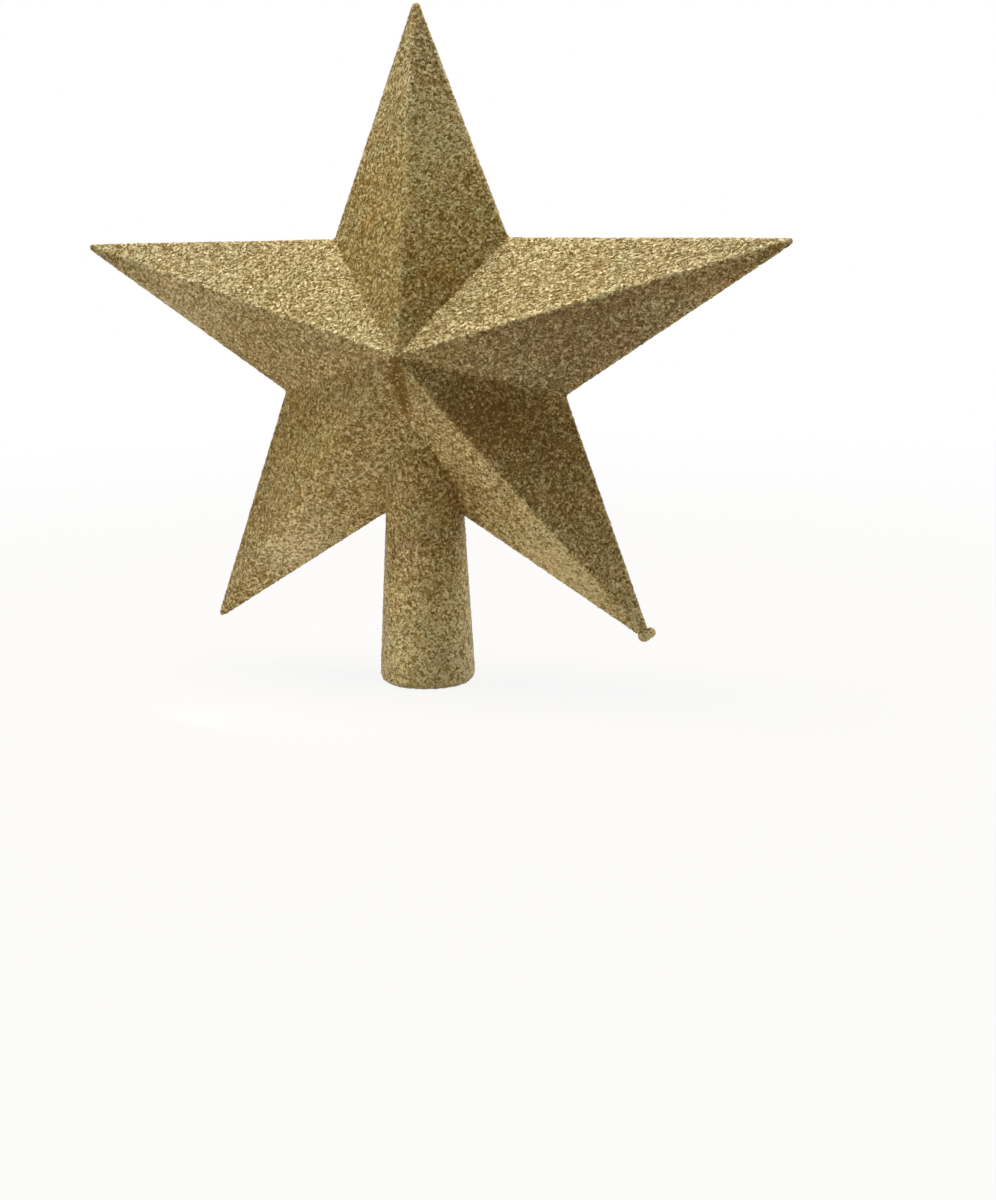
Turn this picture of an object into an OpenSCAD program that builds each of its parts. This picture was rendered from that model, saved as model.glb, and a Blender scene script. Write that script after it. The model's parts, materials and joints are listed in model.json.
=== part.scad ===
/* [Star] */
// Height of the star's centre above the socket's mouth
centre_rise = 93.5; // [85:0.1:104]
// Star's centre to the sharp corner of the upper arm
reach_up = 101.2; // [92:0.1:112]
// Half width of the ellipse that the five sharp corners lie on
reach_side = 113.6; // [102:0.1:126]
// Notches between the arms, as a share of the reach
notch_share = 0.393; // [0.38:0.001:0.43]
// Depth of one half, from the parting plane to its sharp centre point
half_depth = 22.7; // [20:0.1:26]
// Rounding of ridges, edges and corners, measured outside the glitter
edge_r = 1; // [0.8:0.05:1.4]
// Length that the blunt end takes off the sharp corner of the upper arm
blunt_drop = 4.7; // [4.6:0.1:9]
// Wall of the two half shells
shell_wall = 1.6; // [1.2:0.1:2]

/* [Seam] */
// Width of the locating step on the front half
step_w = 0.8; // [0.6:0.05:1]
// Height of the locating step
step_h = 0.5; // [0.4:0.05:0.6]
// Side clearance of the step in its rebate
step_gap = 0.12; // [0.08:0.01:0.2]
// Thickness of the cement on top of the step
seam_cement_t = 0.25; // [0.15:0.05:0.35]

/* [Locating pins] */
// Distance of the pins from the star's centre, as a share of the reach
pin_share = 0.5; // [0.4:0.01:0.6]
// Radius of a pin
pin_r = 1.3; // [1:0.05:1.6]
// Length of a pin beyond the parting plane
pin_len = 3.2; // [2.4:0.1:4]
// Clearance round and beyond a pin in its hole
pin_gap = 0.12; // [0.08:0.01:0.2]
// Wall of the bosses round the pins and holes
boss_wall = 1.3; // [1:0.1:1.6]

/* [Socket] */
// Radius of the socket's bore, which takes the leader of the tree
bore_r = 9; // [8.4:0.1:9.8]
// Wall of the socket's neck, inside the star
neck_wall = 1.7; // [1.4:0.05:2.1]
// Widening of the bore's radius in the lead-in, down to the mouth
lead_in_w = 0.4; // [0.2:0.1:0.6]
// Height of the lead-in above the mouth
lead_in_h = 16; // [10:0.5:24]
// Widening of the outer radius from the neck down to the mouth's plane
flare_w = 2.4; // [2.1:0.1:3.4]
// Rounding of the outer edge of the mouth
lip_r = 2.7; // [2:0.1:2.7]
// Rounding of the inner edge of the mouth
mouth_round_r = 0.3; // [0.2:0.05:0.4]
// Thickness of the socket's closed end
end_wall = 1.8; // [1.4:0.1:2.4]
// Drop of the socket's closed end below the star's centre
end_drop = 5; // [4:0.1:6]
// Drop of the flange's upper face below the star's centre
flange_drop = 8.4; // [8:0.1:9.6]
// Reach of the flange that keeps the socket in the star, beyond the neck
flange_w = 2.1; // [1.7:0.1:2.6]
// Thickness of the flange
flange_t = 1.8; // [1.4:0.1:2.2]
// Clearance round the flange in its pocket
flange_gap = 0.15; // [0.1:0.01:0.25]

/* [Cradle] */
// Thickness of the cement between the neck and its cradle
neck_cement_t = 0.3; // [0.2:0.05:0.4]
// Wall of the half round cradles that hold the neck
cradle_wall = 1.4; // [1:0.1:1.8]
// Rise of the cradles above the place where the neck's front enters the star
cradle_rise = 4; // [3:0.1:4.6]
// Thickness of the ribs above and below the flange
rib_t = 1.4; // [1:0.1:1.8]
// Reach of the ribs to each side of the flange
rib_margin = 3; // [2:0.1:4]

/* [Glitter] */
// Thickness of the glitter coat
coat_t = 0.35; // [0.25:0.05:0.5]
// Radius of the dried drip round the tip of the lower right arm
drip_r = 1.75; // [1.7:0.05:2.1]
// Shift of the drip from the middle of the tip's rounding, towards the star's centre
drip_back = 0.4; // [0.2:0.05:0.5]
// Shift of the drip from the middle of the tip's rounding, away from its lobe
drip_shift = 0.4; // [0.2:0.05:0.5]
// Radius of the drip's lobe on the upper side of the tip
lobe_r = 1.4; // [1.2:0.05:1.6]
// Shift of the lobe from the middle of the tip's rounding
lobe_shift = 1.55; // [1.4:0.05:1.7]

/* [Hidden] */

GLITTER_GOLD = "darkkhaki";
PLASTIC_GOLD = "goldenrod";
CEMENT_CLEAR = "ivory";

ARMS = 5;
CORNERS = 2 * ARMS;
DRIP_ARM = 2;
// Facets of a full turn on the balls that round the ridges, and on plain round pieces
BALL_FACETS = 20;
$fn = 72;
// Overrun of cuts beyond the piece that they cut
cut = 5;

// Point number i of the star's outline, clockwise from the upper corner seen from the front
function corner(i, share = 1) =
    let (out = share * (i % 2 == 0 ? 1 : notch_share), turn = i * 360 / CORNERS)
    [out * reach_side * sin(turn), out * reach_up * cos(turn)];

function outline(share) = [for (i = [0 : CORNERS - 1]) corner(i, share)];

// Distances from the star's centre to one of its sharp facets, and to one edge of its outline
function facet_gap(i) =
    let (tip = [corner(i).x, 0, corner(i).y], notch = [corner(i + 1).x, 0, corner(i + 1).y],
         top = [0, half_depth, 0], normal = cross(tip - top, notch - top))
    abs(normal * top) / norm(normal);
function edge_gap(i) =
    abs(cross(corner(i), corner(i + 1))) / norm(corner(i) - corner(i + 1));

least_facet_gap = min([for (i = [0 : CORNERS - 1]) facet_gap(i)]);
least_edge_gap = min([for (i = [0 : CORNERS - 1]) edge_gap(i)]);

// Sizes of the star's nested forms, as shares of the sharp star
core_share = 1 - edge_r / least_facet_gap;
cavity_share = 1 - (coat_t + shell_wall) / least_facet_gap;
step_foot_share = cavity_share - step_gap / least_edge_gap;
step_share = cavity_share + step_w / least_edge_gap;
rebate_share = step_share + step_gap / least_edge_gap;

// Roundings of the bare plastic, and depth of the rebate that takes the step and its cement
shell_edge_r = edge_r - coat_t;
rebate_depth = step_h + seam_cement_t;

// Radii of the socket and of what lies round it, and the radius of a boss
neck_r = bore_r + neck_wall;
mouth_r = neck_r + flare_w;
flange_r = neck_r + flange_w;
seat_r = neck_r + neck_cement_t;
cradle_r = seat_r + cradle_wall;
pocket_r = flange_r + flange_gap;
rib_half_w = flange_r + rib_margin;
boss_r = pin_r + pin_gap + boss_wall;

// Heights along the socket
end_z = centre_rise - end_drop;
flange_top_z = centre_rise - flange_drop;
flange_low_z = flange_top_z - flange_t;
pocket_top_z = flange_top_z + flange_gap;
pocket_low_z = flange_low_z - flange_gap;
rib_low_z = pocket_low_z - rib_t;

// The flare begins where the edges of the lower arms leave the neck, and the neck's front
// enters the star where the valley between those arms is as deep as the neck's radius
lower_notch = corner(ARMS);
lower_tip = corner(ARMS - 1);
arm_slope = (lower_notch.y - lower_tip.y) / lower_tip.x;
flare_z = centre_rise + lower_notch.y - arm_slope * (neck_r + coat_t);
enter_z = centre_rise + lower_notch.y * (1 - neck_r / half_depth);
cradle_top_z = enter_z + cradle_rise;
flare_turn = atan(flare_w / flare_z);
lip_x = mouth_r - lip_r * (1 + sin(flare_turn)) / cos(flare_turn);

// The star with sharp ridges, scaled by share about its centre
module sharp_star(share) {
    rim = [for (p = outline(share)) [p.x, 0, p.y]];
    tops = [[0, -share * half_depth, 0], [0, share * half_depth, 0]];
    front_facets = [for (i = [0 : CORNERS - 1]) [CORNERS, i, (i + 1) % CORNERS]];
    rear_facets = [for (i = [0 : CORNERS - 1]) [CORNERS + 1, (i + 1) % CORNERS, i]];
    translate([0, 0, centre_rise])
        polyhedron(points = concat(rim, tops), faces = concat(front_facets, rear_facets));
}

// The star with its ridges, edges and corners rounded to radius r over a common core
module round_star(r) {
    blunt_z = centre_rise + reach_up - blunt_drop - edge_r;
    minkowski() {
        difference() {
            sharp_star(core_share);
            translate([-reach_side, -half_depth, blunt_z])
                cube([2 * reach_side, 2 * half_depth, reach_up]);
        }
        sphere(r, $fn = BALL_FACETS);
    }
}

// Half space on the front (-1) or the rear (1) of the parting plane
module half_space(side) {
    depth = half_depth + cut;
    translate([-reach_side - cut, side < 0 ? -depth : 0, centre_rise - reach_up - cut])
        cube([2 * (reach_side + cut), depth, 2 * (reach_up + cut)]);
}

// Upright cylinder on the socket's axis between two heights
module on_axis(r, low, high) {
    translate([0, 0, low])
        cylinder(r = r, h = high - low);
}

// Band that follows the star's edge from the parting plane to depth, open at the neck
module edge_band(inner_share, outer_share, depth) {
    difference() {
        translate([0, depth, centre_rise])
            rotate([90, 0, 0])
                linear_extrude(height = depth)
                    difference() {
                        polygon(outline(outer_share));
                        polygon(outline(inner_share));
                    }
        on_axis(cradle_r, flare_z - cut, end_z);
    }
}

// One cylinder in each arm, from depth low to depth high
module in_each_arm(r, low, high) {
    for (arm = [0 : ARMS - 1]) {
        at = corner(2 * arm, pin_share);
        translate([at.x, high, centre_rise + at.y])
            rotate([90, 0, 0])
                cylinder(r = r, h = high - low);
    }
}

// Ribs, cradle and bosses, which run out to the walls of the cavity
module inner_frame(side) {
    for (low = [rib_low_z, pocket_top_z])
        translate([-rib_half_w, -half_depth, low])
            cube([2 * rib_half_w, 2 * half_depth, rib_t]);
    on_axis(cradle_r, flare_z - cut, cradle_top_z);
    if (side < 0)
        in_each_arm(boss_r, -half_depth, 0);
    else
        in_each_arm(boss_r, 0, half_depth);
}

// Room for the socket: its neck with the cement, and the pocket for its flange
module socket_room() {
    on_axis(seat_r, flare_z - cut, end_z + cut);
    on_axis(pocket_r, pocket_low_z, pocket_top_z);
}

// Wall, ribs, cradle and bosses of one half, before its seam and its pins
module half_shell(side) {
    difference() {
        intersection() {
            round_star(shell_edge_r);
            half_space(side);
        }
        difference() {
            sharp_star(cavity_share);
            inner_frame(side);
        }
        socket_room();
    }
}

module front_shell() {
    color(PLASTIC_GOLD)
        union() {
            half_shell(-1);
            in_each_arm(pin_r, 0, pin_len);
            edge_band(cavity_share, step_share, step_h);
        }
}

module rear_shell() {
    color(PLASTIC_GOLD)
        difference() {
            half_shell(1);
            in_each_arm(pin_r + pin_gap, -cut, pin_len + pin_gap);
            edge_band(step_foot_share, rebate_share, rebate_depth);
        }
}

// Cement in the rebate, beside and on top of the step
module seam_cement() {
    color(CEMENT_CLEAR)
        difference() {
            edge_band(cavity_share, rebate_share, rebate_depth);
            edge_band(step_foot_share, step_share, step_h);
        }
}

// Half section of the socket's outside, solid to the axis and grown outwards by skin
module socket_section(skin) {
    r = lip_r + skin;
    intersection() {
        union() {
            translate([lip_x, lip_r])
                circle(r = r);
            polygon([
                [0, 0],
                [lip_x, 0],
                [lip_x + r * cos(flare_turn), lip_r + r * sin(flare_turn)],
                [neck_r + skin, flare_z],
                [neck_r + skin, end_z],
                [0, end_z]
            ]);
        }
        square([mouth_r + cut, end_z]);
    }
}

// Half section of the bore, its lead-in and the rounded inner edge of the mouth
module bore_section() {
    lead_in_r = bore_r + lead_in_w;
    round_x = lead_in_r + mouth_round_r;
    difference() {
        polygon([
            [0, -cut],
            [round_x, -cut],
            [round_x, mouth_round_r],
            [lead_in_r, mouth_round_r],
            [bore_r, lead_in_h],
            [bore_r, end_z - end_wall],
            [0, end_z - end_wall]
        ]);
        translate([round_x, mouth_round_r])
            circle(r = mouth_round_r);
    }
}

module socket_tube() {
    color(PLASTIC_GOLD)
        rotate_extrude()
            difference() {
                union() {
                    socket_section(0);
                    translate([0, flange_low_z])
                        square([flange_r, flange_t]);
                }
                bore_section();
            }
}

// Cement that fills the gap between the neck and its cradles, up to their tops
module neck_cement() {
    color(CEMENT_CLEAR)
        intersection() {
            difference() {
                on_axis(seat_r, flare_z - cut, cradle_top_z);
                on_axis(neck_r, flare_z - 2 * cut, cradle_top_z + cut);
            }
            round_star(shell_edge_r);
        }
}

// Glitter skin on one half of the star, up to the skin of the neck
module half_glitter(side) {
    color(GLITTER_GOLD)
        difference() {
            intersection() {
                round_star(edge_r);
                half_space(side);
            }
            round_star(shell_edge_r);
            on_axis(neck_r + coat_t, flare_z - cut, end_z);
        }
}

module front_glitter() {
    half_glitter(-1);
}

module rear_glitter() {
    half_glitter(1);
}

// Glitter skin on the part of the socket that shows
module socket_glitter() {
    color(GLITTER_GOLD)
        difference() {
            rotate_extrude()
                difference() {
                    socket_section(coat_t);
                    socket_section(0);
                }
            on_axis(mouth_r, rib_low_z, end_z + cut);
            round_star(shell_edge_r);
        }
}

// Dried drip of lacquer and glitter round the tip of the lower right arm, with a lobe
module tip_drip() {
    tip = corner(2 * DRIP_ARM, core_share);
    arm_turn = atan2(tip.y, tip.x);
    color(GLITTER_GOLD)
        difference() {
            translate([tip.x, 0, centre_rise + tip.y])
                rotate([0, -arm_turn, 0]) {
                    translate([-drip_back, 0, -drip_shift])
                        sphere(r = drip_r);
                    translate([0, 0, lobe_shift])
                        sphere(r = lobe_r);
                }
            round_star(edge_r);
        }
}

front_shell();
rear_shell();
socket_tube();
seam_cement();
neck_cement();
front_glitter();
rear_glitter();
socket_glitter();
tip_drip();
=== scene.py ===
"""Christmas tree topper star: glitter coats, loose flakes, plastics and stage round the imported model."""

import json
import math

import bmesh
import bpy
import numpy as np
from bpy.props import FloatProperty, FloatVectorProperty, PointerProperty
from bpy.types import Operator, Panel, PropertyGroup
from mathutils import Matrix, Vector
from mathutils.bvhtree import BVHTree


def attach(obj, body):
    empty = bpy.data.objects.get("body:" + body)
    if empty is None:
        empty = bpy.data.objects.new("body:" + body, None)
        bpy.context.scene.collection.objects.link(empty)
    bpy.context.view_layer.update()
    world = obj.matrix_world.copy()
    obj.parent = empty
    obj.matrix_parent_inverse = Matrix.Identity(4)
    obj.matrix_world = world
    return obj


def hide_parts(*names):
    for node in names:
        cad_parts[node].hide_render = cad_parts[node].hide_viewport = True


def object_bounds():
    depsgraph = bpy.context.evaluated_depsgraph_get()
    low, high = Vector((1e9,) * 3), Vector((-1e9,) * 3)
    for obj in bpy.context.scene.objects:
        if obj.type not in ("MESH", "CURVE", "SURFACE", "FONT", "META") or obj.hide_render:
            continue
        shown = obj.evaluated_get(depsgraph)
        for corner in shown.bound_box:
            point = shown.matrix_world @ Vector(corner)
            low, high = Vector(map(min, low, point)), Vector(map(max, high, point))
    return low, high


bl_info = {
    "name": "Glitter Star Topper",
    "version": (1, 0, 0),
    "blender": (4, 5, 0),
    "location": "3D View > Sidebar > Star Topper",
    "description": "Glitter coats, flakes, plastics and stage for a packed star tree topper",
    "category": "Object",
}

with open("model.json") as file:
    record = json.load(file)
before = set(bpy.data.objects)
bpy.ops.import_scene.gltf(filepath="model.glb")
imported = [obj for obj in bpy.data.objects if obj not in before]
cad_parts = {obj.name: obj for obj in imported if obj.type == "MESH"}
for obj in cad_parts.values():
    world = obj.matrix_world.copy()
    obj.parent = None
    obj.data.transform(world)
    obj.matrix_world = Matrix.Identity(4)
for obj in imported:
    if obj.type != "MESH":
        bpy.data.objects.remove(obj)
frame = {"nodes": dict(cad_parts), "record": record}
CAD_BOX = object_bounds()
BODY = "root"
GLITTER = "glitter_in_lacquer"
MM = 0.001
ARMS = 5
CORNERS = 2 * ARMS
SOCKET_MOUNT = frame["record"]["mounts"][0]
BORE_R = SOCKET_MOUNT["dims"]["r_mm"] * MM


def length(name, description, default):
    """A length in metres, shown in the scene's own unit."""
    return FloatProperty(
        name=name,
        description=description,
        default=default,
        subtype="DISTANCE",
        unit="LENGTH",
        precision=5,
    )


def share(name, description, default):
    """A share from 0 to 1."""
    return FloatProperty(
        name=name,
        description=description,
        default=default,
        min=0,
        max=1,
        subtype="FACTOR",
    )


def turn(name, description, degrees):
    """An angle, given here in degrees."""
    return FloatProperty(
        name=name,
        description=description,
        default=math.radians(degrees),
        subtype="ANGLE",
    )


def tint(name, description, default):
    """A linear colour without alpha."""
    return FloatVectorProperty(
        name=name,
        description=description,
        default=default,
        size=3,
        subtype="COLOR",
    )


def power(name, description, default):
    """A lamp's power in watts."""
    return FloatProperty(
        name=name,
        description=description,
        default=default,
        unit="POWER",
    )


def pixels(name, description, default):
    """A length or a place in the photo, in pixels."""
    return FloatProperty(
        name=name,
        description=description,
        default=default,
        subtype="PIXEL",
    )


# Settings that a user would change


class StarForm(PropertyGroup):
    """Sizes of the star under its coat, as in the solid model."""

    centre_rise: length("Centre height", "Star's centre above the socket's mouth", 93.5 * MM)
    reach_up: length("Upper reach", "Star's centre to the sharp corner of the upper arm", 101.2 * MM)
    reach_side: length("Side reach", "Half width of the ellipse that the corners lie on", 113.6 * MM)
    notch_share: share("Notch share", "Notches between the arms, as a share of the reach", 0.393)
    half_depth: length("Half depth", "Parting plane to the sharp centre point", 22.7 * MM)
    edge_r: length("Edge radius", "Rounding of the ridges outside the glitter", 1.0 * MM)
    blunt_drop: length("Blunt end", "Length off the sharp corner of the upper arm", 4.7 * MM)
    coat_t: length("Coat", "Thickness of the glitter coat", 0.35 * MM)


class DripForm(PropertyGroup):
    """Sizes of the dried drip, from the middle of the rounding at the lower right tip."""

    drip_r: length("Drip radius", "Radius of the drip round the tip", 1.75 * MM)
    drip_back: length("Drip back", "Shift of the drip towards the star's centre", 0.4 * MM)
    drip_shift: length("Drip shift", "Shift of the drip away from its lobe", 0.4 * MM)
    lobe_r: length("Lobe radius", "Radius of the lobe", 1.4 * MM)
    lobe_shift: length("Lobe shift", "Shift of the lobe to the upper side of the tip", 1.55 * MM)


class SocketForm(PropertyGroup):
    """Sizes of the socket's outside, as in the solid model."""

    neck_r: length("Neck radius", "Outer radius of the neck, inside the star", BORE_R + 1.7 * MM)
    flare_w: length("Flare", "Widening of the outer radius down to the mouth", 2.4 * MM)
    flare_z: length("Flare start", "Height at which the flare begins", 46.8 * MM)
    lip_r: length("Lip radius", "Rounding of the outer edge of the mouth", 2.7 * MM)


class GlitterFinish(PropertyGroup):
    """Grain and colours of the glitter."""

    grain: length("Grain", "Size of one grain of the coat", 0.69 * MM)
    relief: length("Relief", "Height of the grains", 0.18 * MM)
    jitter: length("Scatter", "Sideways scatter of the grains", 0.17 * MM)
    flake_r: length("Flake radius", "Radius of a loose flake", 0.28 * MM)
    flake_t: length("Flake thickness", "Thickness of a loose flake", 0.05 * MM)
    flake_gap: length("Flake spacing", "Mean spacing of the loose flakes", 1.6 * MM)
    flake_tilt: turn("Flake tilt", "Spread of the flakes' tilt", 24)
    # Pale gold stands partly for painted glints and bronze partly for painted shade in the gaps between
    # the grains, beside the grains' own random tone
    pale: tint("Pale gold", "Colour of the grains that catch the light", (0.85, 0.748, 0.428))
    mid: tint("Gold", "Colour of most grains", (0.355, 0.252, 0.084))
    deep: tint("Bronze", "Colour of the gaps between the grains", (0.153, 0.087, 0.019))


class PlasticFinish(PropertyGroup):
    """Colours of the mouldings and the cement."""

    shell: tint("Shell", "Moulded plastic of the star", (0.42, 0.29, 0.10))
    socket: tint("Socket", "Moulded plastic of the socket, bare in the bore", (0.45, 0.31, 0.11))
    cement: tint("Cement", "Dried solvent cement", (0.70, 0.64, 0.50))


class StageLook(PropertyGroup):
    """Camera, lamps and floor."""

    azimuth: turn("Azimuth", "Camera's turn to the right", 19.0)
    elevation: turn("Elevation", "Camera's height as an angle", 4.62)
    roll: turn("Roll", "Camera's roll", -1.04)
    distance: length("Distance", "Camera to the star's centre", 554.3 * MM)
    focal_px: pixels("Focal length", "Focal length in pixels of the photo", 1980.7)
    centre_x: pixels("Centre across", "Pixel column of the camera's axis", 422.1)
    centre_y: pixels("Centre down", "Pixel row of the camera's axis", 350.6)
    floor: tint("Floor", "Colour of the floor and the backdrop", (0.70, 0.61, 0.50))
    side_tint: tint("Side light", "Colour of the low lamp on the left", (1.0, 0.88, 0.74))
    top_power: power("Overhead lamp", "Power of the overhead lamp", 5.8)
    side_power: power("Side lamp", "Power of the low lamp on the left", 1.3)
    rear_power: power("Rear lamp", "Power of the lamp behind on the right", 5.6)
    foot_power: power("Foot lamp", "Power of the small lamp at the socket's foot", 0.0125)


# The coats

# Seeds of the random draws
STAR_SEED, SOCKET_SEED, DRIP_SEED, FLAKE_SEED = 11, 23, 37, 51
# Film of lacquer between the plastic and the lowest flakes
LACQUER = 0.02 * MM
# Share of the relief that stands proud of the coat in the solid model
PROUD = 0.45
# Triangles along each side of a facet before the grains are made, and points closer than this are one
SPLITS, SAME_POINT = 24, 0.01 * MM
# The star's coat leaves the socket's neck free: overlap of the two coats, and the part of the upper reach
# below the centre in which the neck lies
NECK_OVERLAP, NECK_REACH = 0.4 * MM, 0.42
# Height up to which the socket is coated, inside the star
COAT_TOP_Z = 78 * MM
# Depth under the star's rounded outside at which the socket's coat is left out
COVERED = 0.8 * MM
# Girth for which the grains of the socket's rows are counted, as a share of its neck's girth
MEAN_GIRTH = 1.1
# Rows of grains at the end of the lip that aren't scattered up or down
LIP_ROWS = 3
# Corners of a loose flake, its least and greatest size in flake radii, and how much longer than wide it
# can be
FLAKE_SIDES, FLAKE_SIZES, FLAKE_STRETCH = 6, (0.7, 1.15), 1.35
# Least and greatest tone of a loose flake, on the scale of the grains' heights
FLAKE_TONES = (0.5, 1.0)
# Size and scatter of the drip's grains, as a share of those of the coats
DRIP_GRAINS = 0.5
# Number of the corner at the tip of the lower right arm
LOWER_RIGHT = 4
# Length below which a direction counts as none
NO_LENGTH = 1e-9

# Painted highlights along the ridges where the strength is above 0, and painted shade in the valley below
# the centre and under the right arm's ridge where it is below 0, each from the centre to a corner of the
# star: number of the corner, share of the length, shift up, width and strength
PAINTED_RIDGE_LIGHT_AND_VALLEY_SHADE = (
    (0, 0.95, 0.0, 2.0 * MM, 0.07),
    (2, 0.97, 0.9 * MM, 1.1 * MM, 0.22),
    (4, 0.90, -1.2 * MM, 1.5 * MM, 0.08),
    (8, 0.97, 0.9 * MM, 1.1 * MM, 0.18),
    (5, 0.36, 0.0, 1.7 * MM, -0.50),
    (2, 0.97, -3.5 * MM, 3.0 * MM, -0.10),
)
# Painted light and painted shade on the front's glitter, paler where the strength is above 0 and darker
# where below: corner at which the facet starts, x, z, radius and strength
PAINTED_LIGHT_AND_SHADE_PATCHES = (
    (0, 8 * MM, 154 * MM, 20 * MM, 0.17),
    (0, 9 * MM, 112 * MM, 8 * MM, -0.09),
    (1, 70 * MM, 118 * MM, 16 * MM, -0.03),
    (2, 46 * MM, 100 * MM, 18 * MM, -0.13),
    (3, 20 * MM, 79 * MM, 13 * MM, -0.21),
    (3, 36 * MM, 68 * MM, 16 * MM, -0.15),
    (3, 61 * MM, 21 * MM, 12 * MM, 0.17),
    (4, 38 * MM, 36 * MM, 15 * MM, 0.30),
    (4, 50 * MM, 25 * MM, 13 * MM, 0.16),
    (4, 20 * MM, 64 * MM, 10 * MM, 0.08),
    (4, 11 * MM, 57 * MM, 7 * MM, -0.17),
    (5, -36 * MM, 36 * MM, 13 * MM, 0.19),
    (6, -54 * MM, 46 * MM, 14 * MM, -0.05),
    (7, -72 * MM, 106 * MM, 16 * MM, 0.13),
    (9, -5 * MM, 164 * MM, 18 * MM, 0.09),
)
# Painted tint of the light on the front's glitter: places whose gold is painted duller, or richer where
# below 0, for the colour of the light that falls there, in the same order of values
PAINTED_TINT_PATCHES = (
    (0, 8 * MM, 130 * MM, 26 * MM, -0.11),
    (1, 75 * MM, 122 * MM, 20 * MM, 0.06),
    (2, 50 * MM, 102 * MM, 40 * MM, 0.16),
    (5, -38 * MM, 34 * MM, 16 * MM, 0.11),
    (6, -32 * MM, 72 * MM, 20 * MM, -0.13),
    (7, -75 * MM, 106 * MM, 18 * MM, 0.10),
    (8, -70 * MM, 122 * MM, 30 * MM, 0.06),
    (9, -9 * MM, 128 * MM, 26 * MM, -0.12),
)
# Painted light and painted shadow down the socket: how much paler it is painted at the mouth, where more
# light reaches it, the height at which that has faded to nothing, the share of that height up to which it
# is painted darker in the star's shadow above, and how much more of both lies on the right
SOCKET_LIGHT, SOCKET_LIGHT_Z, SOCKET_SHADE_END, SOCKET_LIGHT_RIGHT = 0.20, 42 * MM, 1.2, 0.45
# How much paler the glitter in the drip is
DRIP_PALER = 0.24


# The stage, in metres where no other unit is named

# Size of the photo in pixels
PHOTO_W, PHOTO_H = 996, 1200
# Height of the camera's sensor, and the distance from which the camera sees
SENSOR_MM, CLIP_START = 36, 0.01
# Floor from its near edge to the bend, the bend itself and the wall
FLOOR_HALF_W, FLOOR_NEAR_Y, BEND_Y, BEND_R, BEND_STEPS, WALL_TOP = 3.0, -2.5, 0.9, 0.7, 12, 3.0
# Distances from the object between which the floor turns from nearly white to white
SHADOW_NEAR, SHADOW_FAR, NEARLY_WHITE = 0.12, 0.60, 0.90
# Place, width and power of each lamp that points at the star's centre
LAMPS = {
    "overhead_lamp": ((-0.1, 0.0, 0.75), 0.4, "top_power"),
    "side_lamp": ((-1.11, -0.64, 0.30), 0.35, "side_power"),
    "rear_lamp": ((0.98, 0.62, 0.65), 0.5, "rear_power"),
}
FOOT_PLACE, FOOT_TARGET, FOOT_W = (-0.05, -0.07, 0.016), (-0.02, 0, 0.06), 0.03


# Form of the star


def corner(form, number, scale=1.0):
    """A point of the star's outline about its centre, numbered clockwise from the upper corner."""
    out = scale * (1 if number % 2 == 0 else form.notch_share)
    angle = 2 * math.pi * number / CORNERS
    return Vector((out * form.reach_side * math.sin(angle), 0, out * form.reach_up * math.cos(angle)))


def least_facet_gap(form):
    """Least distance from the star's centre to one of its sharp facets."""
    top = Vector((0, form.half_depth, 0))
    gaps = []
    for number in range(CORNERS):
        normal = (corner(form, number) - top).cross(corner(form, number + 1) - top)
        gaps.append(abs(normal.dot(top)) / normal.length)
    return min(gaps)


def core_scale(form):
    """Size of the core that the roundings roll over, as a share of the sharp star."""
    return 1 - form.edge_r / least_facet_gap(form)


def core_tree(form):
    """Search tree over the sharp core that the roundings roll over, with the blunt upper end cut."""
    scale = core_scale(form)
    centre = Vector((0, 0, form.centre_rise))
    bm = bmesh.new()
    rim = [bm.verts.new(centre + corner(form, number, scale)) for number in range(CORNERS)]
    for side in (-1, 1):
        top = bm.verts.new(centre + Vector((0, side * scale * form.half_depth, 0)))
        for number in range(CORNERS):
            pair = (rim[number], rim[(number + 1) % CORNERS])
            bm.faces.new((top, *(pair if side < 0 else pair[::-1])))
    blunt = Vector((0, 0, form.centre_rise + form.reach_up - form.blunt_drop - form.edge_r))
    everything = bm.verts[:] + bm.edges[:] + bm.faces[:]
    cut = bmesh.ops.bisect_plane(
        bm, geom=everything, plane_co=blunt, plane_no=(0, 0, 1), clear_outer=True
    )
    edges = [part for part in cut["geom_cut"] if isinstance(part, bmesh.types.BMEdge)]
    bmesh.ops.contextual_create(bm, geom=edges)
    bmesh.ops.recalc_face_normals(bm, faces=bm.faces[:])
    bmesh.ops.triangulate(bm, faces=bm.faces[:])
    tree = BVHTree.FromBMesh(bm)
    bm.free()
    return tree


def unit(vectors):
    """The same directions with length 1."""
    return vectors / np.maximum(np.linalg.norm(vectors, axis=1, keepdims=True), NO_LENGTH)


def over_core(tree, points, out):
    """Each point moved straight out from the core to distance out, one number or one per point."""
    near = np.array([tree.find_nearest(point)[0] for point in points.tolist()])
    return near + unit(points - near) * np.reshape(out, (-1, 1))


def buried(tree, point, gap):
    """True if the point lies inside the core, or less than gap outside it."""
    near, normal, _, distance = tree.find_nearest(point)
    return (Vector(point) - near).dot(normal) < 0 or distance < gap


def add_facet(bm, top, left_end, right_end):
    """Adds a facet as a grid of triangles, from the centre point to the two corners."""
    rows = []
    for u in range(SPLITS + 1):
        left, right = top.lerp(left_end, u / SPLITS), top.lerp(right_end, u / SPLITS)
        rows.append([bm.verts.new(left.lerp(right, v / u if u else 0)) for v in range(u + 1)])
    for u in range(SPLITS):
        for v in range(u + 1):
            bm.faces.new((rows[u][v], rows[u + 1][v], rows[u + 1][v + 1]))
            if v < u:
                bm.faces.new((rows[u][v], rows[u + 1][v + 1], rows[u][v + 1]))


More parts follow.
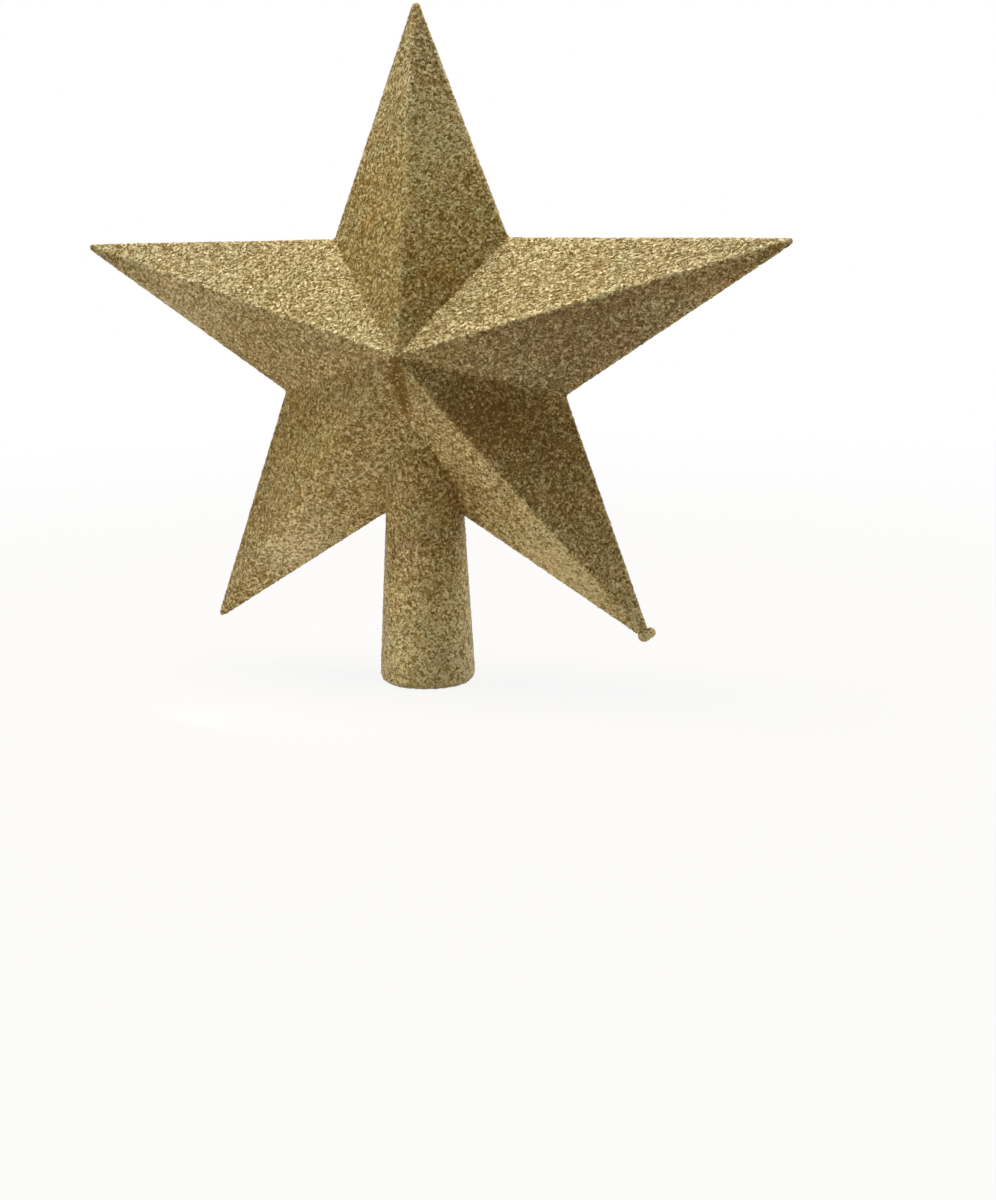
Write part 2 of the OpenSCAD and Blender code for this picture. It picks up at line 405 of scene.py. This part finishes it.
def rounded_star(form, tree):
    """The closed star with rounded ridges, coarse, to be filled with even grains."""
    centre = Vector((0, 0, form.centre_rise))
    bm = bmesh.new()
    for side in (-1, 1):
        top = centre + Vector((0, side * form.half_depth, 0))
        for number in range(CORNERS):
            add_facet(bm, top, centre + corner(form, number), centre + corner(form, number + 1))
    bmesh.ops.remove_doubles(bm, verts=bm.verts[:], dist=SAME_POINT)
    bmesh.ops.recalc_face_normals(bm, faces=bm.faces[:])
    points = np.array([vert.co for vert in bm.verts])
    for vert, place in zip(bm.verts, over_core(tree, points, form.edge_r).tolist()):
        vert.co = place
    return bm


def soft(distance, width):
    """Bell curve that is 1 at distance 0."""
    return np.exp(-(distance / width) ** 2)


def facet_patches(form, points, patches):
    """Sum of soft round patches on the front at each point, each limited to its own facet."""
    x, y, z = points.T
    angle = np.arctan2(x / form.reach_side, (z - form.centre_rise) / form.reach_up)
    facet = np.floor(angle * CORNERS / (2 * math.pi)) % CORNERS
    value = np.zeros(len(points))
    for number, patch_x, patch_z, radius, strength in patches:
        value += (facet == number) * strength * soft(np.hypot(x - patch_x, z - patch_z), radius)
    return value * (y < 0)


def wear(form, points):
    """Painted light and painted shade on the front's glitter at each point: pale and dark patches,
    highlights along the ridges and shade in the valleys.
    """
    centre = np.array((0, 0, form.centre_rise))
    top = centre - (0, form.half_depth, 0)
    value = facet_patches(form, points, PAINTED_LIGHT_AND_SHADE_PATCHES)
    for number, part, rise, width, strength in PAINTED_RIDGE_LIGHT_AND_VALLEY_SHADE:
        way = part * (centre + np.array(corner(form, number)) - top)
        along = np.clip((points - top) @ way / (way @ way), 0, 1)[:, None]
        off = points - top - along * way - (0, 0, rise)
        value += strength * soft(np.linalg.norm(off, axis=1), width)
    return value * (points[:, 1] < 0)


def over_neck(form, socket, points):
    """True where the star's coat is left open, because the socket's neck passes there."""
    neck_r = socket.neck_r + form.coat_t - NECK_OVERLAP
    rise = points[:, 2] - form.centre_rise
    below = (rise < 0) & (np.abs(rise) < form.reach_up * NECK_REACH)
    return below & (np.hypot(points[:, 0], points[:, 1]) < neck_r)


# Form of the socket


def socket_profile(socket, step):
    """Points down the bare socket's outside: radius, height and the outward direction."""
    lean = math.atan(socket.flare_w / socket.flare_z)
    mouth_r = socket.neck_r + socket.flare_w
    lip_x = mouth_r - socket.lip_r * (1 + math.sin(lean)) / math.cos(lean)
    rows = []
    z = COAT_TOP_Z
    while z > socket.flare_z:
        rows.append((socket.neck_r, z, 1.0, 0.0))
        z -= step
    while z > socket.lip_r * (1 + math.sin(lean)):
        r = socket.neck_r + socket.flare_w * (1 - z / socket.flare_z)
        rows.append((r, z, math.cos(lean), math.sin(lean)))
        z -= step * math.cos(lean)
    bow = math.pi / 2 + lean
    count = round(socket.lip_r * bow / step)
    for k in range(count + 1):
        out, up = math.cos(lean - bow * k / count), math.sin(lean - bow * k / count)
        rows.append((lip_x + socket.lip_r * out, socket.lip_r * (1 + up), out, up))
    return np.array(rows)


def socket_points(profile, angle, out, lift, lowest):
    """Points at distance out from the bare socket, none of them below lowest."""
    r = profile[:, 0, None] + profile[:, 2, None] * out
    z = np.maximum(profile[:, 1, None] + profile[:, 3, None] * out + lift, lowest)
    return np.stack((r * np.sin(angle), -r * np.cos(angle), z), -1).reshape(-1, 3)


def staggered_faces(rows, columns):
    """Triangles of a closed sleeve in which every other row is turned by half a step."""
    faces = []
    for i in range(rows - 1):
        for j in range(columns):
            a = i * columns + j
            b = i * columns + (j + 1) % columns
            c, d = b + columns, a + columns
            faces += [(a, b, d), (b, c, d)] if i % 2 == 0 else [(a, b, c), (a, c, d)]
    return faces


def painted_socket_light(points):
    """Painted light and painted shadow on the socket's glitter at each point: paler towards the mouth,
    darker under the star.
    """
    right = points[:, 0] / np.hypot(points[:, 0], points[:, 1])
    height = np.minimum(points[:, 2] / SOCKET_LIGHT_Z, SOCKET_SHADE_END)
    return SOCKET_LIGHT * (1 - height) * (1 + SOCKET_LIGHT_RIGHT * right)


# Meshes


def even_grains(bm, size):
    """The bmesh's solid as a mesh of even cells of this size, as points and quads."""
    mesh = bpy.data.meshes.new("grains")
    bm.to_mesh(mesh)
    bm.free()
    ob = bpy.data.objects.new("grains", mesh)
    bpy.context.scene.collection.objects.link(ob)
    remesh = ob.modifiers.new("cells", "REMESH")
    remesh.mode = "VOXEL"
    remesh.voxel_size = size
    found = ob.evaluated_get(bpy.context.evaluated_depsgraph_get()).to_mesh()
    points = np.empty(len(found.vertices) * 3)
    found.vertices.foreach_get("co", points)
    faces = [tuple(face.vertices) for face in found.polygons]
    bpy.data.objects.remove(ob)
    bpy.data.meshes.remove(mesh)
    return points.reshape(-1, 3), faces


def new_piece(name, points, faces, material):
    """A mesh object with flat faces, riding on the part's body."""
    if not faces:
        raise RuntimeError(f"{name} would have no faces")
    mesh = bpy.data.meshes.new(name)
    mesh.from_pydata(points.tolist(), [], faces)
    mesh.polygons.foreach_set("use_smooth", [False] * len(faces))
    mesh.materials.append(material)
    mesh.update()
    ob = bpy.data.objects.new(name, mesh)
    bpy.context.scene.collection.objects.link(ob)
    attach(ob, BODY)
    return ob


def point_values(ob, name, values):
    """A value for each vertex that a material can read."""
    layer = ob.data.attributes.new(name, "FLOAT", "POINT")
    layer.data.foreach_set("value", np.asarray(values, np.float32))


def face_values(mesh, name, width):
    """A row of width values for each face of the mesh."""
    values = np.empty(len(mesh.polygons) * width)
    mesh.polygons.foreach_get(name, values)
    return values.reshape(-1, width)


def keep_used(points, faces, *values):
    """Drops the points that no face uses, with their values."""
    used = np.unique(np.concatenate([np.array(face) for face in faces]))
    new = np.full(len(points), -1)
    new[used] = np.arange(len(used))
    faces = [tuple(new[list(face)].tolist()) for face in faces]
    return (points[used], faces, *[each[used] for each in values])


def closed_skin(outer, inner, faces):
    """A sheet and its copy at the inner points, joined along every open edge."""
    count = len(outer)
    open_edges = {}
    for face in faces:
        for a, b in zip(face, face[1:] + face[:1]):
            if (b, a) in open_edges:
                del open_edges[(b, a)]
            else:
                open_edges[(a, b)] = True
    back = [tuple(i + count for i in reversed(face)) for face in faces]
    rim = [(b, a, a + count, b + count) for a, b in open_edges]
    return np.vstack((outer, inner)), faces + back + rim


def outer_face_count(mesh):
    """Number of faces on the outer side of a closed skin, which are its first ones."""
    half = len(mesh.vertices) // 2
    return sum(max(face.vertices) < half for face in mesh.polygons)


def flakes(rng, centre, normal, finish):
    """Points and faces of closed six sided flakes at these places, leaning at random."""
    count = len(centre)
    up = unit(normal + rng.normal(0, math.tan(finish.flake_tilt) / 2, (count, 3)))
    side = unit(np.cross(up, rng.normal(size=(count, 3))))
    other = np.cross(up, side)
    r = finish.flake_r * rng.uniform(*FLAKE_SIZES, (count, 1))
    stretch = rng.uniform(1.0, FLAKE_STRETCH, (count, 1))
    base = centre + normal * LACQUER
    points = []
    for level in (-0.5, 0.5):
        for k in range(FLAKE_SIDES):
            angle = 2 * math.pi / FLAKE_SIDES * k
            across = side * r * stretch * math.cos(angle) + other * r * math.sin(angle)
            points.append(base + across + up * finish.flake_t * level)
    ring = range(FLAKE_SIDES)
    one = [tuple(reversed(ring)), tuple(k + FLAKE_SIDES for k in ring)]
    for k in ring:
        after = (k + 1) % FLAKE_SIDES
        one.append((k, after, after + FLAKE_SIDES, k + FLAKE_SIDES))
    faces = [tuple(i + 2 * FLAKE_SIDES * k for i in face) for k in range(count) for face in one]
    return np.stack(points, 1).reshape(-1, 3), faces


# Materials


class Nodes:
    """Short calls for building a material's node tree."""

    def __init__(self, name):
        self.material = bpy.data.materials.new(name)
        self.material.use_nodes = True
        self.tree = self.material.node_tree
        self.shader = self.tree.nodes["Principled BSDF"]

    def link(self, out, into):
        """Links a node's output to an input."""
        self.tree.links.new(out, into)

    def feed(self, socket, value):
        """Links a node's output into the socket, or sets a plain value there."""
        if isinstance(value, bpy.types.NodeSocket):
            self.link(value, socket)
        else:
            socket.default_value = value

    def shade(self, values):
        """Feeds the inputs of the shader."""
        for name, value in values.items():
            self.feed(self.shader.inputs[name], value)

    def add(self, kind, **values):
        """A node with its own settings in small letters and its inputs in capitals."""
        node = self.tree.nodes.new(kind)
        for key, value in values.items():
            if hasattr(node, key):
                setattr(node, key, value)
            else:
                self.feed(node.inputs[key], value)
        return node

    def millimetres(self):
        """Place on the object in millimetres."""
        return self.vector("SCALE", self.add("ShaderNodeTexCoord").outputs["Object"], scale=1 / MM)

    def texture(self, kind, place, size, **values):
        """A texture node whose pattern has this size."""
        return self.add(kind, Vector=place, Scale=1 / size, **values)

    def attribute(self, name):
        """A value that the mesh holds for each point."""
        return self.add("ShaderNodeAttribute", attribute_name=name).outputs["Fac"]

    def parts(self, colour):
        """Red, green and blue of a colour."""
        return self.add("ShaderNodeSeparateColor", Color=colour).outputs

    def math(self, how, a, b):
        """A sum, product or the like of two values."""
        node = self.add("ShaderNodeMath", operation=how)
        self.feed(node.inputs[0], a)
        self.feed(node.inputs[1], b)
        return node.outputs[0]

    def vector(self, how, a, b=None, scale=None):
        """The same for one vector or two, or a vector and its scale."""
        node = self.add("ShaderNodeVectorMath", operation=how)
        self.feed(node.inputs[0], a)
        if b is not None:
            self.feed(node.inputs[1], b)
        if scale is not None:
            self.feed(node.inputs["Scale"], scale)
        return node.outputs[0]

    def ramp(self, value, stops):
        """Colours along a value, as pairs of a place from 0 to 1 and a colour."""
        node = self.add("ShaderNodeValToRGB")
        points = node.color_ramp.elements
        for point, (place, colour) in zip((points[0], points[1]), (stops[0], stops[-1])):
            point.position, point.color = place, (*colour, 1)
        for place, colour in stops[1:-1]:
            points.new(place).color = (*colour, 1)
        self.link(value, node.inputs[0])
        return node.outputs[0]

    def mix(self, share_of_b, a, b, how="MIX"):
        """Two colours mixed. The node's colour sockets come after those of its other kinds."""
        node = self.add("ShaderNodeMix", data_type="RGBA", blend_type=how)
        self.feed(node.inputs[0], share_of_b)
        for socket, colour in ((node.inputs[6], a), (node.inputs[7], b)):
            self.feed(socket, (*colour, 1) if isinstance(colour, tuple) else colour)
        return node.outputs[2]


def glitter_material(finish):
    """Grains of gold film in clear lacquer: colour, gloss and lean change from grain to grain, and painted
    light and shade from the meshes shift the colour.
    """
    n = Nodes(GLITTER)
    grey = (0.5, 0.5, 0.5)
    place = n.millimetres()

    # Cells with bent edges for the flakes, some of them split into finer ones. Sizes are in millimetres.
    cell_size, fine_cell_size, split_above = 0.7, 0.4, 0.62
    bend_size, bend_by = 0.9, 1.1
    bend = n.texture("ShaderNodeTexNoise", place, bend_size, Detail=1.0).outputs["Color"]
    bent = n.vector("ADD", place, n.vector("SCALE", n.vector("SUBTRACT", bend, grey), scale=bend_by))
    large = n.texture("ShaderNodeTexVoronoi", bent, cell_size).outputs["Color"]
    fine = n.texture("ShaderNodeTexVoronoi", bent, fine_cell_size).outputs["Color"]
    cells = n.mix(n.math("GREATER_THAN", n.parts(large)[2], split_above), fine, large)
    cell_tone, cell_gloss, _ = n.parts(cells)

    # Tone from the cell's random tone and from how far its grain stands out, so that lower grains get
    # painted shade
    by_cell = 0.75
    raised = n.attribute("grain_height")
    by_grain = 1 - by_cell
    tone_and_gap_shade = n.math("ADD", n.math("MULTIPLY", cell_tone, by_cell), n.math("MULTIPLY", raised, by_grain))
    # Painted light and painted shade that the mesh holds shift the tone along the ramp
    painted_light_shift = n.attribute("wear")
    stops = [(0.2, finish.deep), (0.5, finish.mid), (0.9, finish.pale)]
    colour = n.ramp(n.math("ADD", tone_and_gap_shade, painted_light_shift), stops)

    # Broad drift between a redder and a greener gold. Where painted shade darkens the glitter, it is also
    # painted browner.
    drift_size, drift_shift, shade_browning = 9, (17.0, 5.0, -11.0), 0.7
    reddish, greenish = (1.10, 0.96, 0.84), (0.905, 1.04, 1.11)
    moved = n.vector("ADD", place, drift_shift)
    drift = n.texture("ShaderNodeTexNoise", moved, drift_size, Detail=3.0, Roughness=0.6).outputs["Fac"]
    greener = n.math("ADD", drift, n.math("MULTIPLY", n.math("MINIMUM", painted_light_shift, 0.0), shade_browning))
    colour = n.mix(1.0, colour, n.mix(greener, reddish, greenish), "MULTIPLY")
    # Painted tint of the light: the gold is made duller or richer where the mesh holds it
    saturation = n.math("SUBTRACT", 1.0, n.attribute("dull"))
    tinted_by_light = n.add("ShaderNodeHueSaturation", Color=colour, Saturation=saturation)

    # Each flake leans its own way and has its own gloss
    lean_by, least_rough, rough_range = 0.20, 0.38, 0.25
    lean = n.vector("SCALE", n.vector("SUBTRACT", cells, grey), scale=lean_by)
    normal = n.vector("ADD", n.add("ShaderNodeNewGeometry").outputs["Normal"], lean)
    n.shade({
        "Base Color": tinted_by_light.outputs["Color"],
        "Normal": n.vector("NORMALIZE", normal),
        "Roughness": n.math("ADD", least_rough, n.math("MULTIPLY", cell_gloss, rough_range)),
        "Metallic": 0.08,
        "Specular IOR Level": 0.35,
        "Specular Tint": (1.0, 0.78, 0.4, 1),
    })
    return n.material


def plastic_material(name, colour, streak, roughness):
    """Moulded plastic with faint flow streaks along its height and a fine uneven gloss."""
    n = Nodes(name)
    # Sizes in millimetres, the scale along the height that draws the streaks out, and the gloss's spread
    streak_size, haze_size, drawn_out, haze_range = 6, 1.2, 0.25, 0.12
    place = n.millimetres()
    along = n.vector("MULTIPLY", place, (1.0, 1.0, drawn_out))
    flow = n.texture("ShaderNodeTexNoise", along, streak_size, Detail=4.0, Distortion=0.6)
    dark = tuple(part * (1 - streak) for part in colour)
    light = tuple(min(1.0, part * (1 + streak)) for part in colour)
    haze = n.texture("ShaderNodeTexNoise", place, haze_size, Detail=3.0).outputs["Fac"]
    gloss = n.math("ADD", roughness - haze_range / 2, n.math("MULTIPLY", haze, haze_range))
    bump = n.add("ShaderNodeBump", Strength=0.15, Distance=0.05 * MM, Height=haze)
    n.shade({
        "Base Color": n.ramp(flow.outputs["Fac"], [(0.3, dark), (0.7, light)]),
        "Roughness": gloss,
        "Normal": bump.outputs[0],
    })
    return n.material


def seen_rays(tree):
    """1 for the rays from the camera and for those that metal and glass pass on, and 0 for the rest."""
    path = tree.nodes.new("ShaderNodeLightPath")
    seen = path.outputs["Is Camera Ray"]
    for name in ("Is Glossy Ray", "Is Transmission Ray"):
        most = tree.nodes.new("ShaderNodeMath")
        most.operation = "MAXIMUM"
        tree.links.new(seen, most.inputs[0])
        tree.links.new(path.outputs[name], most.inputs[1])
        seen = most.outputs[0]
    return seen


def floor_material(colour):
    """Matt floor that takes the shadow faintly near the object and turns white away from it."""
    n = Nodes("floor")
    n.shade({"Base Color": (*colour, 1), "Roughness": 0.9, "Specular IOR Level": 0.1})
    away = n.add("ShaderNodeVectorMath", operation="LENGTH")
    n.link(n.add("ShaderNodeTexCoord").outputs["Object"], away.inputs[0])
    rise = n.add("ShaderNodeMapRange", interpolation_type="SMOOTHSTEP")
    span = {
        "Value": away.outputs["Value"],
        "From Min": SHADOW_NEAR,
        "From Max": SHADOW_FAR,
        "To Min": NEARLY_WHITE,
        "To Max": 1.0,
    }
    for name, value in span.items():
        n.feed(rise.inputs[name], value)
    white = n.add("ShaderNodeEmission", Color=(1, 1, 1, 1), Strength=1.0)
    both = n.add("ShaderNodeMixShader")
    n.link(n.math("MULTIPLY", seen_rays(n.tree), rise.outputs["Result"]), both.inputs[0])
    n.link(n.shader.outputs[0], both.inputs[1])
    n.link(white.outputs[0], both.inputs[2])
    n.link(both.outputs[0], n.tree.nodes["Material Output"].inputs["Surface"])
    return n.material


def settings(context):
    """All settings of the topper in this scene."""
    return context.scene.star_topper


def glitter_of(context):
    """The glitter's material, made on first use."""
    return bpy.data.materials.get(GLITTER) or glitter_material(settings(context).glitter)


# Operators


class STARTOPPER_OT_coat_star(Operator):
    """Coats the front and the rear half of the star with raised grains"""

    bl_idname = "star_topper.coat_star"
    bl_label = "Coat the star"

    def execute(self, context):
        every = settings(context)
        form, finish = every.star, every.glitter
        tree = core_tree(form)
        points, faces = even_grains(rounded_star(form, tree), finish.grain)
        rng = np.random.default_rng(STAR_SEED)
        points = points + rng.uniform(-1, 1, points.shape) * finish.jitter
        low = rng.uniform(0, 1, len(points))
        outer = over_core(tree, points, form.edge_r + finish.relief * (PROUD - low))
        outer = np.clip(outer, *CAD_BOX)
        inner = over_core(tree, points, form.edge_r - form.coat_t + LACQUER)
        # Grain heights, which give the gaps painted shade, painted light and shade on the front, and its
        # painted tint of the light
        values = (1 - low, wear(form, outer), facet_patches(form, outer, PAINTED_TINT_PATCHES))
        centres = np.array([outer[list(face)].mean(0) for face in faces])
        shown = ~over_neck(form, every.socket, centres)
        for node, name, side in (("front_glitter", "front_coat", -1), ("rear_glitter", "rear_coat", 1)):
            here = shown & (side * centres[:, 1] >= 0)
            half = [face for face, kept in zip(faces, here) if kept]
            over, half, under, *kept_values = keep_used(outer, half, inner, *values)
            piece = new_piece(name, *closed_skin(over, under, half), glitter_of(context))
            for key, each in zip(("grain_height", "wear", "dull"), kept_values):
                point_values(piece, key, np.tile(each, 2))
            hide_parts(node)
        return {"FINISHED"}


class STARTOPPER_OT_coat_socket(Operator):
    """Coats the part of the socket that shows with raised grains"""

    bl_idname = "star_topper.coat_socket"
    bl_label = "Coat the socket"

    def execute(self, context):
        every = settings(context)
        form, finish, socket = every.star, every.glitter, every.socket
        profile = socket_profile(socket, finish.grain)
        rows = len(profile)
        columns = round(2 * math.pi * socket.neck_r * MEAN_GIRTH / finish.grain)
        rng = np.random.default_rng(SOCKET_SEED)
        low = rng.uniform(0, 1, (rows, columns))
        low[-1] = 1
        sway = rng.uniform(-1, 1, (rows, columns)) * finish.jitter / socket.neck_r
        half_step = (np.arange(rows) % 2)[:, None] * math.pi / columns
        angle = 2 * math.pi * np.arange(columns) / columns + half_step + sway
        lift = rng.uniform(-1, 1, (rows, columns)) * finish.jitter
        lift[-LIP_ROWS:] = 0
        out = form.coat_t + finish.relief * (PROUD - low)
        outer = socket_points(profile, angle, out, lift, 0.0)
        inner = socket_points(profile, angle, np.full_like(out, LACQUER), lift, LACQUER)
        tree = core_tree(form)
        hidden = [buried(tree, point, form.edge_r - COVERED) for point in outer.tolist()]
        sleeve = staggered_faces(rows, columns)
        shown = [face[::-1] for face in sleeve if not all(hidden[i] for i in face)]
        over, shown, under, raised = keep_used(outer, shown, inner, 1 - low.ravel())
        points, faces = closed_skin(over, under, shown)
        piece = new_piece("socket_coat", points, faces, glitter_of(context))
        point_values(piece, "grain_height", np.tile(raised, 2))
        # Painted light near the mouth and painted shadow under the star
        point_values(piece, "wear", painted_socket_light(points))
        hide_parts("socket_glitter")
        return {"FINISHED"}


class STARTOPPER_OT_tip_drip(Operator):
    """Makes the dried drip of lacquer and glitter round the tip of the lower right arm"""

    bl_idname = "star_topper.tip_drip"
    bl_label = "Make the drip"

    def execute(self, context):
        every = settings(context)
        form, drip, finish = every.star, every.drip, every.glitter
        tip = corner(form, LOWER_RIGHT, core_scale(form))
        arm = tip.normalized()
        across = Vector((-arm.z, 0, arm.x))
        tip = tip + Vector((0, 0, form.centre_rise))
        body = tip - arm * drip.drip_back - across * drip.drip_shift
        lobe = tip + across * drip.lobe_shift
        bm = bmesh.new()
        for place, radius in ((body, drip.drip_r), (lobe, drip.lobe_r)):
            there = Matrix.Translation(place)
            bmesh.ops.create_icosphere(bm, subdivisions=4, radius=radius, matrix=there)
        points, faces = even_grains(bm, finish.grain * DRIP_GRAINS)
        rng = np.random.default_rng(DRIP_SEED)
        points = points + rng.uniform(-1, 1, points.shape) * finish.jitter * DRIP_GRAINS
        piece = new_piece("drip", points, faces, glitter_of(context))
        point_values(piece, "grain_height", rng.uniform(0, 1, len(points)))
        point_values(piece, "wear", np.full(len(points), DRIP_PALER))
        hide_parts("tip_drip")
        return {"FINISHED"}


class STARTOPPER_OT_loose_flakes(Operator):
    """Scatters six sided flakes that lie on the coats at all angles"""

    bl_idname = "star_topper.loose_flakes"
    bl_label = "Scatter the flakes"

    def execute(self, context):
        finish = settings(context).glitter
        box_low, box_high = (np.array(end) for end in CAD_BOX)
        for k, coated in enumerate(("front", "rear", "socket")):
            coat = bpy.data.objects.get(f"{coated}_coat")
            if not coat:
                raise RuntimeError(f"{coated}_coat is missing, so no flake can lie on it")
            outside = outer_face_count(coat.data)
            area = face_values(coat.data, "area", 1)[:outside, 0]
            centre = face_values(coat.data, "center", 3)[:outside]
            normal = face_values(coat.data, "normal", 3)[:outside]
            count = int(area.sum() / finish.flake_gap**2)
            rng = np.random.default_rng(FLAKE_SEED + k)
            at = rng.choice(outside, count, replace=False, p=area / area.sum())
            points, faces = flakes(rng, centre[at], normal[at], finish)
            # Flakes that reach past the solid model's box move back inside it as a whole
            each = points.reshape(count, -1, 3)
            inward = np.maximum(box_low - each.min(1), 0) + np.minimum(box_high - each.max(1), 0)
            each += inward[:, None]
            piece = new_piece(f"{coated}_flakes", points, faces, glitter_of(context))
            tones = rng.uniform(*FLAKE_TONES, count)
            point_values(piece, "grain_height", np.repeat(tones, 2 * FLAKE_SIDES))
        return {"FINISHED"}


class STARTOPPER_OT_plastics(Operator):
    """Gives the mouldings and the cement their plastics"""

    bl_idname = "star_topper.plastics"
    bl_label = "Finish the mouldings"

    def execute(self, context):
        finish = settings(context).plastic
        shell = plastic_material("moulded_shell", finish.shell, streak=0.08, roughness=0.42)
        socket = plastic_material("moulded_socket", finish.socket, streak=0.10, roughness=0.36)
        cement = plastic_material("dried_cement", finish.cement, streak=0.05, roughness=0.25)
        for name, material in (
            ("front_shell", shell),
            ("rear_shell", shell),
            ("socket_tube", socket),
            ("seam_cement", cement),
            ("neck_cement", cement),
        ):
            ob = frame["nodes"][name]
            if not ob.material_slots:
                raise RuntimeError(f"{name} has no material slot")
            for slot in ob.material_slots:
                slot.material = material
        return {"FINISHED"}


class STARTOPPER_OT_stage(Operator):
    """Sets up the floor, the backdrop, the lamps and the camera"""

    bl_idname = "star_topper.stage"
    bl_label = "Set the stage"

    def execute(self, context):
        scene = context.scene
        if scene.camera:
            raise RuntimeError("the scene has a camera already, so the stage stands")
        look = settings(context).stage
        centre = Vector((0, 0, settings(context).star.centre_rise))
        scene.view_settings.view_transform = "Standard"
        floor = self.floor(scene, look)
        self.white_room(scene)
        for name, (place, width, key) in LAMPS.items():
            self.lamp(scene, name, place, centre, width, getattr(look, key))
        bpy.data.lights["side_lamp"].color = look.side_tint
        foot = self.lamp(scene, "foot_lamp", FOOT_PLACE, Vector(FOOT_TARGET), FOOT_W, look.foot_power)
        foot.visible_camera = False
        self.camera(scene, look, centre)
        return {"FINISHED"}

    def floor(self, scene, look):
        """Floor that curves up into the backdrop."""
        rows = [(FLOOR_NEAR_Y, 0.0), (BEND_Y, 0.0)]
        for k in range(1, BEND_STEPS + 1):
            angle = math.pi / 2 * k / BEND_STEPS
            rows.append((BEND_Y + BEND_R * math.sin(angle), BEND_R * (1 - math.cos(angle))))
        rows.append((BEND_Y + BEND_R, WALL_TOP))
        points = [(x, y, z) for y, z in rows for x in (-FLOOR_HALF_W, FLOOR_HALF_W)]
        faces = [(2 * i, 2 * i + 1, 2 * i + 3, 2 * i + 2) for i in range(len(rows) - 1)]
        mesh = bpy.data.meshes.new("floor")
        mesh.from_pydata(points, [], faces)
        mesh.polygons.foreach_set("use_smooth", [True] * len(faces))
        mesh.materials.append(floor_material(look.floor))
        floor = bpy.data.objects.new("floor", mesh)
        scene.collection.objects.link(floor)
        return floor

    def white_room(self, scene):
        """World that is white where it is seen and gives no light."""
        room = bpy.data.worlds.new("room")
        scene.world = room
        room.use_nodes = True
        back = room.node_tree.nodes["Background"]
        back.inputs["Color"].default_value = (1, 1, 1, 1)
        room.node_tree.links.new(seen_rays(room.node_tree), back.inputs["Strength"])

    def lamp(self, scene, name, place, target, width, watts):
        """A round lamp of this width that points at the target."""
        data = bpy.data.lights.new(name, "AREA")
        data.shape = "DISK"
        data.size = width
        data.energy = watts
        ob = bpy.data.objects.new(name, data)
        ob.location = place
        ob.rotation_euler = (target - Vector(place)).to_track_quat("-Z", "Y").to_euler()
        scene.collection.objects.link(ob)
        return ob

    def camera(self, scene, look, centre):
        """The photo's camera, which looks past the star's centre by a shift of its lens."""
        a, e, roll = look.azimuth, look.elevation, look.roll
        back = Vector((math.sin(a) * math.cos(e), -math.cos(a) * math.cos(e), math.sin(e)))
        right = Vector((math.cos(a), math.sin(a), 0))
        up = back.cross(right)
        across = math.cos(roll) * right + math.sin(roll) * up
        upward = -math.sin(roll) * right + math.cos(roll) * up
        data = bpy.data.cameras.new("camera")
        data.sensor_fit = "VERTICAL"
        data.sensor_height = SENSOR_MM
        data.lens = look.focal_px / PHOTO_H * SENSOR_MM
        data.shift_x = (PHOTO_W / 2 - look.centre_x) / PHOTO_H
        data.shift_y = (look.centre_y - PHOTO_H / 2) / PHOTO_H
        data.clip_start = CLIP_START
        ob = bpy.data.objects.new("camera", data)
        place = Matrix((across, upward, back)).transposed().to_4x4()
        place.translation = centre + back * look.distance
        ob.matrix_world = place
        scene.collection.objects.link(ob)
        scene.camera = ob


# Panel, registration and run


class StarTopperSettings(PropertyGroup):
    """All settings of the topper."""

    star: PointerProperty(type=StarForm)
    socket: PointerProperty(type=SocketForm)
    drip: PointerProperty(type=DripForm)
    glitter: PointerProperty(type=GlitterFinish)
    plastic: PointerProperty(type=PlasticFinish)
    stage: PointerProperty(type=StageLook)


class STARTOPPER_PT_panel(Panel):
    """Lists the operators and the settings"""

    bl_label = "Star Topper"
    bl_idname = "STARTOPPER_PT_panel"
    bl_space_type = "VIEW_3D"
    bl_region_type = "UI"
    bl_category = "Star Topper"

    def draw(self, context):
        for operator in OPERATORS:
            self.layout.operator(operator.bl_idname)
        for name in StarTopperSettings.__annotations__:
            group = getattr(settings(context), name)
            box = self.layout.box()
            box.label(text=name.capitalize())
            for key in group.__annotations__:
                box.prop(group, key)


# In the order in which they run
OPERATORS = (
    STARTOPPER_OT_stage,
    STARTOPPER_OT_coat_star,
    STARTOPPER_OT_coat_socket,
    STARTOPPER_OT_tip_drip,
    STARTOPPER_OT_loose_flakes,
    STARTOPPER_OT_plastics,
)
GROUPS = (
    StarForm,
    SocketForm,
    DripForm,
    GlitterFinish,
    PlasticFinish,
    StageLook,
    StarTopperSettings,
)
CLASSES = (*GROUPS, *OPERATORS, STARTOPPER_PT_panel)


def register():
    """Adds the classes and the scene's settings to Blender."""
    for cls in CLASSES:
        bpy.utils.register_class(cls)
    bpy.types.Scene.star_topper = PointerProperty(type=StarTopperSettings)


def unregister():
    """Takes the settings and the classes out again."""
    del bpy.types.Scene.star_topper
    for cls in reversed(CLASSES):
        bpy.utils.unregister_class(cls)


def main():
    """Runs every operator once."""
    register()
    for operator in OPERATORS:
        group, name = operator.bl_idname.split(".")
        getattr(getattr(bpy.ops, group), name)()


if __name__ == "__main__":
    main()
